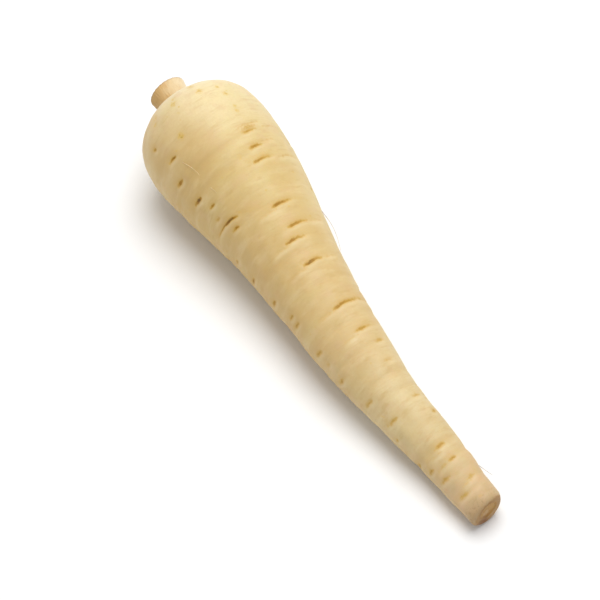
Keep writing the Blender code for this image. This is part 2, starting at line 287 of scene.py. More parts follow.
def arc(centre, radius, first, last, count):
    """Points of an arc in the (along, radius) plane, from the first angle to the last."""
    angles = np.radians(np.linspace(first, last, count))
    return np.stack([centre[0] + radius * np.sin(angles), centre[1] + radius * np.cos(angles)], 1)


def root_profile():
    """(along, radius) of each ring, from the socket's floor over the crown and down to the tip."""
    tip_radius = TAPER[-1][1]
    return np.concatenate([
        straight((SOCKET_FLOOR, 0), (SOCKET_FLOOR, SOCKET_RADIUS), 4 * ROW_STEP),
        straight((SOCKET_FLOOR, SOCKET_RADIUS), CROWN_LIP[0], 2 * ROW_STEP),
        even_steps(CROWN_LIP + TAPER, ROW_STEP),
        arc((TAPER[-1][0], tip_radius - TIP_RIM), TIP_RIM, 10, 90, 8),
        straight((TIP_FACE, tip_radius - TIP_RIM - 0.2), (TIP_FACE, 0), 0.6 * ROW_STEP),
        [(TIP_FACE, 0)],
    ])


def scars():
    """Every scar as (along, turn, width, opening, lean, strength, slant)."""
    found = [scar + (TOP_ROW_SLANT,) for scar in SCARS_TOP_ROW + SCAR_CRACKS + SCAR_CREASES]
    found += [scar + (LEFT_ROW_SLANT,) for scar in SCARS_LEFT_ROW]
    draw, look = random.Random(SCAR_SEED), random.Random(UNDER_LOOK_SEED)
    for middle in UNDER_ROWS:
        along = UNDER_ROW_ENDS[0] + draw.uniform(-4, 6)
        while along < UNDER_ROW_ENDS[1]:
            width = draw.uniform(*UNDER_SCAR_WIDTHS) * (1 - UNDER_SCAR_SHRINK * along / TIP_FACE)
            found.append((along, middle + draw.gauss(0, UNDER_ROW_SPREAD), width,
                          look.uniform(*UNDER_SCAR_OPENINGS), look.uniform(*UNDER_SCAR_LEANS),
                          look.uniform(*UNDER_SCAR_STRENGTHS), 0.0))
            along += draw.uniform(*UNDER_SCAR_GAPS)
    return found


def slit_profile(across, lean):
    """How open a slit is at each place across it, from 1 where it is widest to 0 at its ends."""
    short = np.where(across < lean, 1 + lean, 1 - lean)
    part = np.clip(np.abs(across - lean) / short, 0, 1)
    ends = np.where(short < 1, BLUNT_END, TAIL_END)
    return np.cos(part * math.pi / 2) ** ends


def scar_marks(along, turn):
    """The relief of every scar, and what the skin's colour needs to know about the nearest one."""
    relief, stain, lip, strength = (np.zeros_like(along) for _ in range(4))
    slit = np.full_like(along, -SCAR_SURROUND)
    for place, degrees, width, opening, lean, brown, slant in scars():
        near = np.abs(along[:, 0] - place) < SCAR_SURROUND
        reach = turned_away(turn[near], degrees) * smooth_through(TAPER, np.array([float(place)]))
        across = 2 * reach / width
        wobble = SCAR_WOBBLE * (np.sin(0.9 * reach + place) + 0.5 * np.sin(2.1 * reach + 2 * place))
        away = along[near] - place - SCAR_ARCH * reach**2 - slant * reach - wobble
        open_here = slit_profile(across, lean)
        around = np.exp(-np.abs(across / 1.1) ** 3)
        wide_around = np.exp(-((across - 0.5 * lean) / 1.5) ** 2)
        half = opening / 2 * (SLIT_TAIL + (1 - SLIT_TAIL) * open_here)
        groove = 0.4 + 0.6 * half
        depth = min(SCAR_DEPTH + SCAR_DEPTH_FOR_WIDTH * width, SCAR_DEEPEST) * (0.3 + 0.7 * brown)
        relief[near] -= depth * open_here ** 0.6 * bump(away, groove)
        relief[near] -= SCAR_DIP * depth * around * bump(away + 1.1, 1.2)
        relief[near] += SCAR_LIP * depth * around * bump(away - 2 * groove - 0.4, 1.1)
        inside = half - np.abs(away) - SLIT_CLOSES * (1 - ramp(open_here, 0, 0.12))
        nearest = inside > slit[near]
        strength[near] = np.where(nearest, brown * (0.25 + 0.75 * open_here), strength[near])
        slit[near] = np.maximum(slit[near], inside)
        stain[near] = np.maximum(stain[near], (0.1 + 0.9 * brown) * wide_around
                                 * bump(away + STAIN_SHIFT, STAIN_REACH))
        lip[near] = np.maximum(lip[near], around * bump(away - half - 1.2, 0.9))
    return relief, {"slit": slit, "stain": stain, "lip": lip, "strength": strength}


def band_relief(along, turn, bands):
    """Furrows that run part of the way round the root."""
    draw = random.Random(bands["seed"])
    relief = np.zeros_like(along)
    for _ in range(bands["count"]):
        place, degrees = draw.uniform(*BAND_ENDS), draw.uniform(-180, 180)
        span, depth = draw.uniform(*bands["spans"]), draw.uniform(*bands["depths"])
        width = draw.uniform(*bands["widths"])
        near = np.abs(along[:, 0] - place) < 3 * width
        inside = bump(turned_away(turn[near], degrees), math.radians(span))
        relief[near] -= depth * bump(along[near] - place, width) * inside
    return relief


def swelling_relief(along, turn):
    relief = np.zeros_like(along)
    for place, degrees, length, span, height in SWELLINGS:
        inside = bump(turned_away(turn, degrees), math.radians(span))
        relief += height * bump(along - place, length) * inside
    return relief


def lump_relief(along, turn, radius):
    """Gentle unevenness: waves of the skin in all directions."""
    draw = random.Random(LUMP_SEED)
    place = np.stack([along, radius * np.sin(turn), radius * np.cos(turn)], axis=-1)
    relief = np.zeros_like(along)
    for _ in range(LUMPS):
        way = np.array([draw.gauss(0, 1) for _ in range(3)])
        way *= 2 * math.pi / draw.uniform(*LUMP_LENGTHS) / np.linalg.norm(way)
        relief += np.sin(place @ way + draw.uniform(0, 2 * math.pi))
    relief *= LUMP_HEIGHT * math.sqrt(2 / LUMPS)
    return relief * (1 + (TIP_LUMPS - 1) * ramp(along, 150, 215))


def patches(along, turn, places):
    """Soft round patches, each 1 in its middle times its strength, for (along, turn, reach, strength)."""
    marks = np.zeros_like(along)
    for place, degrees, reach, strength in places:
        near = np.abs(along[:, 0] - place) < 3 * reach
        aside = turned_away(turn[near], degrees) * smooth_through(TAPER, np.array([float(place)]))
        here = strength * bump(np.hypot(along[near] - place, aside), reach)
        marks[near] = np.maximum(marks[near], here)
    return marks


def cut_relief(radius, turn):
    """How far the cut face stands out along the root: a proud core in a sunken ring with a lip."""
    aside, up = radius * np.sin(turn), radius * np.cos(turn)
    ring = np.hypot(aside - RING_MIDDLE[0], up - RING_MIDDLE[1])
    core = np.hypot(aside - CORE_MIDDLE[0], up - CORE_MIDDLE[1])
    rays = RAY_HEIGHT * np.sin(RAYS * turn + 2 * np.sin(3 * turn)) * bump(ring - 3, 1)
    sunken = -RING_SUNK * (1 - ramp(ring, RING_RADIUS - 0.8, RING_RADIUS))
    rises = CORE_RISE * bump(core, CORE_RADIUS) - CORE_MOAT * bump(core - CORE_RADIUS - 1, 0.6)
    rises += RING_LIP * bump(ring - RING_RADIUS - 0.4, 0.5)
    return (sunken + rises + rays) * (1 - ramp(radius, FACE_EDGE - 0.7, FACE_EDGE))


def placed(along, turn, out):
    """Points of the straight root bent along its sway, and leaned over to the cut at the tip."""
    up, aside = out * np.cos(turn), out * np.sin(turn)
    lean = ramp(along, TIP_FACE - TIP_CUT_REACH, TIP_FACE)
    lean_turn, lean_tilt = math.tan(math.radians(TIP_CUT_TURN)), math.tan(math.radians(TIP_CUT_TILT))
    sway = smooth_through(SWAY, along)
    heading = np.arctan(smooth_through(SWAY, along + 0.5) - smooth_through(SWAY, along - 0.5))
    x = along - aside * np.sin(heading) - lean * (lean_turn * aside + lean_tilt * up)
    return np.stack([x, sway + aside * np.cos(heading), up], axis=-1)


def laid_down(points):
    """The points turned down by LIE_ANGLE."""
    angle = math.radians(LIE_ANGLE)
    x, y, z = np.moveaxis(points, -1, 0)
    return np.stack([x * math.cos(angle) + z * math.sin(angle), y,
                     z * math.cos(angle) - x * math.sin(angle)], axis=-1)


def root_skin():
    """Points of the root before it is set on the ground, and the marks that its colour reads."""
    along, radius = (column[:, None] for column in root_profile().T)
    turn = np.linspace(0, 2 * math.pi, COLUMNS, endpoint=False)[None, :]
    along, radius, turn = (np.array(grid) for grid in np.broadcast_arrays(along, radius, turn))
    scar_form, marks = scar_marks(along, turn)
    furrows = band_relief(along, turn, BANDS) + band_relief(along, turn, FINE_BANDS)
    marks["spot"] = patches(along, turn, SPOTS)
    marks["tan"] = patches(along, turn, TAN_PATCHES)
    relief = radius * (OVAL * np.cos(2 * turn - 0.6) + THREE_SIDED * np.cos(3 * turn + along / 45))
    relief += scar_form + furrows + swelling_relief(along, turn) + lump_relief(along, turn, radius)
    relief -= 0.12 * marks["spot"]
    on_crown = ramp(radius, CROWN_LIP[0][1], 20)
    on_flank = ramp(radius, 5, 8)
    out = radius + relief * np.where(along < CROWN_END, on_crown, on_flank)
    # The depth of the furrows, which the colour uses for painted shade.
    marks["furrow"] = np.clip(-furrows / 0.3, 0, 1)
    on_cut = (along > TIP_FACE - 0.01)
    faced = along + np.where(on_cut, cut_relief(radius, turn), 0)
    place = np.stack([along, out * np.sin(turn), out * np.cos(turn)], axis=-1)
    return laid_down(placed(faced, turn, out)), place, marks


# ------------------------------------------------------------------ the stub of leaf stalks

def stump_profile():
    """(along, radius) of each ring of the stub, from its base out to its cut end."""
    radius = SOCKET_RADIUS - STUMP_GAP
    base = SOCKET_FLOOR - STUMP_GAP
    corner = (base - STUMP_BASE_EDGE, radius)
    return np.concatenate([
        straight((base, 0), (base, radius - STUMP_BASE_EDGE), 6 * STUB_ROW_STEP),
        straight((base, radius - STUMP_BASE_EDGE), corner, 2 * STUB_ROW_STEP),
        even_steps([corner] + STUMP_SIDE, STUB_ROW_STEP),
        even_steps(STUMP_CUT, STUB_ROW_STEP),
    ])


def sheaths_at(turn):
    """How far in the skin is, and how far out it was cut, at each turn round the stub."""
    edges, lengths = np.array(SHEATHS).T
    degrees = np.degrees(turn)
    sheath = np.searchsorted(edges, degrees) % len(edges)
    start = edges[sheath - 1]
    part = ((degrees - start) % 360) / ((edges[sheath] - start) % 360)
    return SHEATH_STEP * (1 - part) * ramp(part, 0, SHEATH_EDGE), lengths[sheath - 1]


def layer_gaps(radius, turn):
    """1 in the gaps between the wrapped sheaths on the cut end, 0 on the sheaths."""
    turns = radius / LAYER_PITCH + turn / (2 * math.pi) + 0.12 * np.sin(3 * turn + radius)
    from_gap = np.abs((turns + 0.5) % 1 - 0.5)
    return bump(from_gap, LAYER_GAP) * ramp(radius, 0.6, 1.6) * (1 - ramp(radius, 7.4, 8.2))


def stub_skin():
    """Points of the stub before it is set on the ground, and the marks that its colour reads."""
    along, radius = (column[:, None] for column in stump_profile().T)
    turn = np.linspace(0, 2 * math.pi, STUB_COLUMNS, endpoint=False)[None, :]
    along, radius, turn = (np.array(grid) for grid in np.broadcast_arrays(along, radius, turn))
    inward, length = sheaths_at((turn + SHEATH_WANDER * np.sin(along / 4)) % (2 * math.pi))
    fibre = FIBRE_DEPTH * np.sin(COARSE_FIBRES * turn + along / 5) ** 2
    fibre += 0.5 * FIBRE_DEPTH * np.sin(FIBRES * turn + np.sin(along / 2.5 + 5 * turn))
    out = radius - (inward + fibre) * ramp(radius, 2, 7)
    aside = out * np.sin(turn)
    end = ramp(-along, 6, 12)
    fray = FRAY * (0.5 * np.sin(23 * turn) + 0.3 * np.sin(41 * turn + 1) + 0.2 * np.sin(67 * turn))
    gaps = layer_gaps(radius, turn) * (along < -11)
    cut = -length * ramp(radius, 1, 5) - fray * ramp(radius, 4.5, 7) + LAYER_DEPTH * gaps
    x = along + end * (math.tan(math.radians(STUMP_SLANT)) * aside + cut)
    points = np.stack([x, SWAY[0][1] + aside, out * np.cos(turn)], axis=-1)
    marks = {"lap": np.clip(inward / SHEATH_STEP, 0, 1), "cut": ramp(-along, 11.2, 11.9), "gap": gaps}
    return laid_down(points), np.stack([along, out * np.sin(turn), out * np.cos(turn)], -1), marks


# ------------------------------------------------------------------ meshes

def skin_mesh(name, points, place, marks):
    """A closed mesh over the rings, whose first and last ring are each drawn in to one point."""
    rows, columns = points.shape[0] - 2, points.shape[1]

    def in_order(grid):
        ends = grid[0].mean(axis=0, keepdims=True), grid[-1].mean(axis=0, keepdims=True)
        return np.concatenate([grid[1:-1].reshape((rows * columns,) + grid.shape[2:]), *ends])

    corner = np.arange(rows * columns).reshape(rows, columns)
    beside = np.roll(corner, -1, axis=1)
    quads = np.stack([corner[:-1], beside[:-1], beside[1:], corner[1:]], -1).reshape(-1, 4)
    first, last = rows * columns, rows * columns + 1
    fan_in = [(first, b, a) for a, b in zip(corner[0], beside[0])]
    fan_out = [(last, a, b) for a, b in zip(corner[-1], beside[-1])]
    mesh = bpy.data.meshes.new(name)
    mesh.from_pydata(in_order(points * MM).tolist(), [], quads.tolist() + fan_in + fan_out)
    store = mesh.attributes.new("place", "FLOAT_VECTOR", "POINT")
    store.data.foreach_set("vector", in_order(place).astype(np.float32).ravel())
    for mark, values in marks.items():
        store = mesh.attributes.new(mark, "FLOAT", "POINT")
        store.data.foreach_set("value", in_order(values).astype(np.float32).ravel())
    return mesh


def thinned(name, mesh, triangles, kept_whole=()):
    """An object of the mesh with about this many triangles, fewest where it is smooth.

    Vertices in kept_whole all stay.
    """
    piece = bpy.data.objects.new(name, mesh)
    bpy.context.scene.collection.objects.link(piece)
    thin = piece.modifiers.new("thin", "DECIMATE")
    if len(kept_whole):
        piece.vertex_groups.new(name="whole").add(kept_whole, 1.0, "REPLACE")
        thin.vertex_group, thin.invert_vertex_group = "whole", True
    thin.ratio = triangles / sum(len(face.vertices) - 2 for face in mesh.polygons)
    graph = bpy.context.evaluated_depsgraph_get()
    piece.data = bpy.data.meshes.new_from_object(
        piece.evaluated_get(graph), preserve_all_data_layers=True, depsgraph=graph)
    piece.modifiers.clear()
    bpy.data.meshes.remove(mesh)
    piece.data.name = name
    return piece


def press_flat(piece):
    """Cuts the mesh off level with the ground, and closes each cut with a flat face."""
    build = bmesh.new()
    build.from_mesh(piece.data)
    everything = build.verts[:] + build.edges[:] + build.faces[:]
    cut = bmesh.ops.bisect_plane(build, geom=everything, dist=1e-6, plane_co=(0, 0, 0),
                                 plane_no=(0, 0, -1), clear_outer=True)
    edges = [item for item in cut["geom_cut"] if isinstance(item, bmesh.types.BMEdge)]
    bmesh.ops.holes_fill(build, edges=edges, sides=0)
    bmesh.ops.triangulate(build, faces=[face for face in build.faces if len(face.verts) > 4])
    build.to_mesh(piece.data)
    build.free()


def tube(path, radii, sides=6):
    """Vertices and faces of a closed tube along the path, with a radius at each of its points."""
    path = np.array(path)
    ways = np.gradient(path, axis=0)
    ways /= np.linalg.norm(ways, axis=1, keepdims=True)
    side = np.cross(ways, (0.3, 0.2, 0.9))
    side /= np.linalg.norm(side, axis=1, keepdims=True)
    other = np.cross(ways, side)
    angles = np.linspace(0, 2 * math.pi, sides, endpoint=False)
    ring = (np.cos(angles)[None, :, None] * side[:, None, :]
            + np.sin(angles)[None, :, None] * other[:, None, :])
    points = (path[:, None, :] + ring * np.array(radii)[:, None, None]).reshape(-1, 3)
    faces = [tuple(range(sides))[::-1]]
    for row in range(len(path) - 1):
        for column in range(sides):
            beside = (column + 1) % sides
            faces.append((row * sides + column, row * sides + beside,
                          (row + 1) * sides + beside, (row + 1) * sides + column))
    faces.append(tuple(range((len(path) - 1) * sides, len(path) * sides)))
    return points, faces


# ------------------------------------------------------------------ materials

class Shading:
    """A material's node tree, and short ways to add to it. Numbers are wired by socket name."""

    def __init__(self, name):
        self.material = bpy.data.materials.new(name)
        self.material.use_nodes = True
        self.tree = self.material.node_tree
        self.shader = self.tree.nodes["Principled BSDF"]

    def wire(self, socket, value):
        if isinstance(value, bpy.types.NodeSocket):
            self.tree.links.new(value, socket)
        elif hasattr(socket.default_value, "__len__") and len(value) < len(socket.default_value):
            socket.default_value = (*value, 1)
        else:
            socket.default_value = value

    def add(self, kind, inputs=(), **settings):
        made = self.tree.nodes.new("ShaderNode" + kind)
        for name, value in settings.items():
            setattr(made, name, value)
        for name, value in dict(inputs).items():
            self.wire(made.inputs[name], value)
        return made

    def mark(self, name):
        """A number that the mesh holds at each vertex."""
        return self.add("Attribute", attribute_name=name).outputs["Fac"]

    def place(self, scale=(1, 1, 1), shift=0.0):
        """The place on the straightened root, in millimetres, times the scale and then shifted."""
        whole = self.add("Attribute", attribute_name="place").outputs["Vector"]
        return self.add("VectorMath", {0: whole, 1: scale, 2: (shift, shift, shift)},
                        operation="MULTIPLY_ADD").outputs[0]

    def noise(self, vector, scale, detail=3.0, roughness=0.5):
        made = self.add("TexNoise", {"Vector": vector, "Scale": scale, "Detail": detail,
                                     "Roughness": roughness})
        return made.outputs["Fac"]

    def fade(self, value, start, end, low=0.0, high=1.0):
        """low up to start, high from end, and smooth between."""
        made = self.add("MapRange", {"Value": value, "From Min": start, "From Max": end,
                                     "To Min": low, "To Max": high},
                        interpolation_type="SMOOTHSTEP")
        return made.outputs["Result"]

    def stops(self, value, places, colours):
        """A colour that changes smoothly with the value, through a colour at each place."""
        first, last = places[0], places[-1]
        share = self.add("MapRange", {"Value": value, "From Min": first, "From Max": last})
        made = self.add("ValToRGB", {"Fac": share.outputs["Result"]})
        band = made.color_ramp
        band.interpolation = "EASE"
        while len(band.elements) < len(places):
            band.elements.new(0.5)
        for element, place, colour in zip(band.elements, places, colours):
            element.position = (place - first) / (last - first)
            element.color = (*colour, 1)
        return made.outputs["Color"]

    def maths(self, operation, first, second=0.0):
        return self.add("Math", {0: first, 1: second}, operation=operation).outputs[0]

    def distance(self, first, second):
        squares = self.plus(self.times(first, first), self.times(second, second))
        return self.maths("SQRT", squares)

    def times(self, *values):
        total = values[0]
        for value in values[1:]:
            total = self.maths("MULTIPLY", total, value)
        return total

    def plus(self, first, second):
        return self.maths("ADD", first, second)

    def blend(self, share, under, over):
        """The colour under, with this share of the colour over on it."""
        return self.add("Mix", {0: share, 6: under, 7: over}, data_type="RGBA").outputs[2]

    def bumped(self, height, distance, strength=1.0):
        made = self.add("Bump", {"Height": height, "Distance": distance, "Strength": strength})
        self.wire(self.shader.inputs["Normal"], made.outputs["Normal"])

    def set(self, **values):
        for name, value in values.items():
            self.wire(self.shader.inputs[name.replace("_", " ")], value)


# The skin's tone along the root, from the crown to the tip; its darkening at the tip end is partly the
# skin's own tone, partly painted shade of the rounded rim.
SKIN_TONES = [(0, (0.87, 0.76, 0.51)), (22, (0.80, 0.665, 0.38)), (50, (0.695, 0.54, 0.24)),
              (100, (0.67, 0.50, 0.23)), (135, (0.67, 0.495, 0.24)), (165, (0.73, 0.60, 0.34)),
              (195, (0.67, 0.535, 0.285)), (229, (0.60, 0.455, 0.265))]
# The tan is the skin's own tan in blotches, patches and grain, and also painted shade on the -Y flank; the
# cream is pale blotches, and also painted light on the +Y flank.
TAN_AND_SHADE = (0.60, 0.39, 0.14)
GREEN_TINT = (0.68, 0.59, 0.26)
CREAM_AND_LIGHT = (0.83, 0.69, 0.41)
PINK_TINT = (0.70, 0.47, 0.27)
# The streak colour, also used as painted shade in the furrows.
STREAK_AND_SHADE = (0.58, 0.38, 0.14)
SMUDGE = (0.56, 0.36, 0.12)
# A painted highlight for the swollen skin on the tip side of each scar.
LIP_HIGHLIGHT = (0.84, 0.70, 0.42)
STAIN = (0.62, 0.39, 0.11)
SCAR_HALO = (0.61, 0.37, 0.065)
SCAR_TONES = [(0.05, (0.67, 0.47, 0.20)), (0.25, (0.585, 0.375, 0.105)), (0.5, (0.475, 0.265, 0.04)),
              (0.75, (0.36, 0.17, 0.005)), (1.0, (0.16, 0.07, 0.004))]
SPOT = (0.68, 0.44, 0.08)
SPOT_CORE = (0.36, 0.22, 0.045)
# Painted shade for the crevice where the crown's lip wraps the stub.
CREVICE_SHADE = (0.34, 0.19, 0.09)
TIP_BROWN = (0.38, 0.247, 0.117)
TIP_SPECK = (0.27, 0.16, 0.065)
CUT_RING = (0.48, 0.27, 0.07)
CUT_CORE = (0.50, 0.32, 0.145)
CUT_EDGE = (0.33, 0.175, 0.06)
CUT_FOOT_SHADE = (0.23, 0.095, 0.027)
CUT_FLECK = (0.45, 0.19, 0.05)
CUT_RIM = (0.41, 0.235, 0.087)
DRY_HAIR_TONES = ((0.52, 0.48, 0.42), (0.34, 0.31, 0.27))
PALE_HAIR_TONES = ((0.84, 0.70, 0.44), (0.74, 0.58, 0.33))
# Tones across the stub, from its +Y side to its -Y side: partly the stalk's own tan, partly painted shade
# that darkens the -Y side, away from the key light.
STALK_TONES = [(-9, (0.88, 0.74, 0.50)), (0, (0.78, 0.59, 0.32)), (5, (0.70, 0.455, 0.18)),
               (9, (0.62, 0.39, 0.13))]
STALK_FOOT = (0.86, 0.72, 0.46)
STALK_DARK = (0.40, 0.23, 0.09)
STALK_PINK = (0.68, 0.44, 0.25)
STALK_CUT = (0.40, 0.26, 0.14)
# Painted shade for the gaps between the sheaths on the stub's cut end.
STALK_GAP_SHADE = (0.10, 0.05, 0.025)


def cut_face_colour(skin, place, grain):
    """The cut tip's colour, and how far inside its edge each place is: rings round a paler core."""
    parts = skin.add("SeparateXYZ", {0: place})
    aside, up = parts.outputs[1], parts.outputs[2]

    def from_point(middle, scale, amount):
        away = skin.distance(skin.plus(aside, -middle[0]), skin.plus(up, -middle[1]))
        return skin.plus(away, skin.fade(skin.noise(place, scale, 4), 0.2, 0.8, -amount, amount))

    ring = from_point(RING_MIDDLE, 0.35, 0.6)
    core = from_point(CORE_MIDDLE, 0.6, 0.8)
    colour = skin.blend(skin.fade(core, CORE_RADIUS - 0.5, CORE_RADIUS + 0.7), CUT_CORE, CUT_RING)
    flecks = skin.fade(skin.noise(place, 1.5, 3), 0.54, 0.66, 0, 0.5)
    colour = skin.blend(flecks, colour, CUT_FLECK)
    edge = skin.times(skin.fade(ring, RING_RADIUS - 1.2, RING_RADIUS, 0, 0.8),
                      skin.fade(skin.plus(aside, skin.times(up, -0.5)), 3, -3, 0.45, 1))
    colour = skin.blend(edge, colour, CUT_EDGE)
    colour = skin.blend(skin.fade(ring, RING_RADIUS - 0.1, RING_RADIUS + 0.9, 0, 0.95), colour, CUT_RIM)
    # Painted shade: the foot of the face, next to the floor, is darkened.
    colour = skin.blend(skin.fade(from_point(FOOT_MIDDLE, 0.4, 1.0), 4.6, 1.2, 0, 0.85), colour, CUT_FOOT_SHADE)
    uneven = skin.plus(skin.distance(aside, up), skin.fade(grain, 0.3, 0.7, -0.35, 0.35))
    reach = skin.plus(uneven, skin.plus(skin.times(aside, -0.12), skin.times(up, 0.06)))
    return colour, skin.fade(reach, 8.0, 6.9)


def with_blotches(skin, place, along, aside, colour):
    """Broad and middling blotches, painted shade in tan on the -Y flank, painted light in cream on the +Y
    flank, and faint brown smudges that spare the crown.
    """
    colour = skin.blend(skin.fade(skin.noise(place, 0.055, 4), 0.45, 0.7, 0, 0.35), colour, TAN_AND_SHADE)
    # Painted shade: the -Y flank, away from the key light, is made darker and more tan.
    colour = skin.blend(skin.fade(aside, 2, -24, 0, 0.5), colour, TAN_AND_SHADE)
    # Painted light: the +Y flank, towards the key light, is made paler and more cream.
    colour = skin.blend(skin.fade(aside, 6, 20, 0, 0.3), colour, CREAM_AND_LIGHT)
    green = skin.noise(skin.place((1, 0.8, 0.8), 40), 0.085, 3)
    colour = skin.blend(skin.fade(green, 0.5, 0.72, 0, 0.22), colour, GREEN_TINT)
    cream = skin.noise(skin.place((1.0, 0.4, 0.4), 80), 0.2, 3, 0.5)
    colour = skin.blend(skin.fade(cream, 0.45, 0.7, 0, 0.3), colour, CREAM_AND_LIGHT)
    pink = skin.noise(skin.place((1.1, 0.7, 0.7), 120), 0.17, 4, 0.6)
    colour = skin.blend(skin.fade(pink, 0.5, 0.72, 0, 0.34), colour, PINK_TINT)
    tan = skin.times(skin.mark("tan"), skin.fade(pink, 0.3, 0.6, 0.35, 0.8))
    colour = skin.blend(tan, colour, TAN_AND_SHADE)
    smudges = skin.noise(skin.place((0.75, 0.3, 0.3), 200), 0.55, 2, 0.5)
    smudges = skin.times(skin.fade(smudges, 0.54, 0.76, 0, 0.36), skin.fade(along, 18, 60, 0.15, 1))
    colour = skin.blend(smudges, colour, SMUDGE)
    return colour


def with_streaks(skin, grain, colour):
    """Streaks round the root, in patches, fine grain, and painted shade in the furrows."""
    patchy = skin.fade(skin.noise(skin.place((1, 1, 1), 160), 0.07, 2), 0.4, 0.6, 0.3, 1)
    streaks = skin.fade(skin.noise(skin.place((0.8, 0.09, 0.09)), 1, 5, 0.6), 0.48, 0.75, 0, 0.36)
    fine_streaks = skin.noise(skin.place((2.4, 0.22, 0.22)), 1, 3, 0.6)
    colour = skin.blend(skin.times(streaks, patchy), colour, STREAK_AND_SHADE)
    colour = skin.blend(skin.times(skin.fade(fine_streaks, 0.5, 0.8, 0, 0.28), patchy), colour, STREAK_AND_SHADE)
    colour = skin.blend(skin.fade(grain, 0.35, 0.7, 0.16, 0), colour, TAN_AND_SHADE)
    # Painted shade: the furrows of the growth bands are darkened by their depth.
    colour = skin.blend(skin.times(skin.mark("furrow"), 0.3), colour, STREAK_AND_SHADE)
    return colour, fine_streaks


def with_spots(skin, place, grain, colour):
    """Small spots: a scatter of faint ones, and those listed in SPOTS."""
    cells = skin.add("TexVoronoi", {"Vector": place, "Scale": 0.2, "Randomness": 1.0})
    chosen = skin.fade(skin.add("SeparateColor", {0: cells.outputs["Color"]}).outputs[0], 0.6, 0.66)
    fleck = skin.fade(cells.outputs["Distance"], 0.03, 0.16, 0.5, 0)
    colour = skin.blend(skin.times(fleck, chosen), colour, SPOT)
    spot = skin.plus(skin.mark("spot"), skin.fade(grain, 0.3, 0.7, -0.2, 0.2))
    colour = skin.blend(skin.fade(spot, 0.05, 0.75, 0, 0.7), colour, SPOT)
    colour = skin.blend(skin.fade(spot, 0.6, 1.0, 0, 0.85), colour, SPOT_CORE)
    return colour


def with_tip(skin, place, along, aside, colour):
    """The skin turns pinkish near the tip, and brown with dark specks at its end; that brown is heavier on
    the -Y side as painted shade.
    """
    near_tip = skin.fade(along, 185, 226)
    tip_pink = skin.times(near_tip, skin.fade(skin.noise(place, 0.22, 3), 0.35, 0.65, 0.1, 0.6))
    colour = skin.blend(tip_pink, colour, PINK_TINT)
    # Painted shade: the brown at the tip's end is heavier on the -Y side, away from the key light.
    tip_end = skin.times(skin.fade(along, 220, 229.5), skin.fade(aside, 4, -6, 0.3, 0.7))
    colour = skin.blend(tip_end, colour, TIP_BROWN)
    specks = skin.fade(skin.noise(place, 1.1, 3), 0.52, 0.68, 0, 0.7)
    colour = skin.blend(skin.times(specks, tip_end), colour, TIP_SPECK)
    return colour


def with_scars(skin, place, grain, colour):
    """Side-root scars: a painted highlight on the swollen skin of the tip side, a stain on the crown side, a
    soft halo, and a darker slit.
    """
    # Painted highlight: the swollen skin on the tip side of each scar is made paler.
    colour = skin.blend(skin.times(skin.mark("lip"), 0.28), colour, LIP_HIGHLIGHT)
    stain = skin.times(skin.mark("stain"), skin.fade(grain, 0.3, 0.65, 0.35, 0.7))
    colour = skin.blend(stain, colour, STAIN)
    strength = skin.mark("strength")
    ragged = skin.times(skin.fade(skin.noise(place, 0.7, 3), 0, 1, -1, 1),
                        skin.fade(strength, 0.2, 0.6, 0.75, 0.32))
    slit = skin.plus(skin.mark("slit"), ragged)
    halo = skin.times(skin.fade(slit, -1.1, 0.1, 0, 0.62), skin.fade(strength, 0.05, 0.5, 0.2, 1))
    colour = skin.blend(halo, colour, SCAR_HALO)
    worn = skin.plus(strength, skin.fade(grain, 0.3, 0.7, -0.05, 0.05))
    core = skin.stops(worn, *zip(*SCAR_TONES))
    colour = skin.blend(skin.fade(slit, -0.4, 0.3, 0, 0.95), colour, core)
    return colour


def root_material():
    skin = Shading("parsnip_skin")
    place = skin.place()
    parts = skin.add("SeparateXYZ", {0: place})
    along, aside = parts.outputs[0], parts.outputs[1]
    grain = skin.noise(place, 1.1, 4)
    colour = skin.stops(along, *zip(*SKIN_TONES))
    colour = with_blotches(skin, place, along, aside, colour)
    colour, fine_streaks = with_streaks(skin, grain, colour)
    colour = with_spots(skin, place, grain, colour)
    colour = with_tip(skin, place, along, aside, colour)
    colour = with_scars(skin, place, grain, colour)

    # Painted shade in the crevice round the stub, and the cut face at the other end.
    crevice = skin.fade(skin.plus(along, skin.fade(grain, 0.3, 0.7, -0.5, 0.5)), -0.6, -1.9)
    colour = skin.blend(skin.times(crevice, 0.5), colour, CREVICE_SHADE)
    cut_colour, on_face = cut_face_colour(skin, place, grain)
    on_end = skin.fade(along, TIP_FACE - 1.3, TIP_FACE - 0.7)
    colour = skin.blend(skin.times(on_end, on_face), colour, cut_colour)

    skin.set(Base_Color=colour, Roughness=skin.fade(grain, 0.3, 0.7, 0.46, 0.6),
             Specular_IOR_Level=0.3, Subsurface_Weight=0.12, Subsurface_Scale=0.002,
             Subsurface_Radius=(1.0, 0.55, 0.25))
    skin.bumped(skin.plus(skin.times(fine_streaks, 0.6), skin.times(grain, 0.4)), 0.00022, 0.45)
    return skin.material


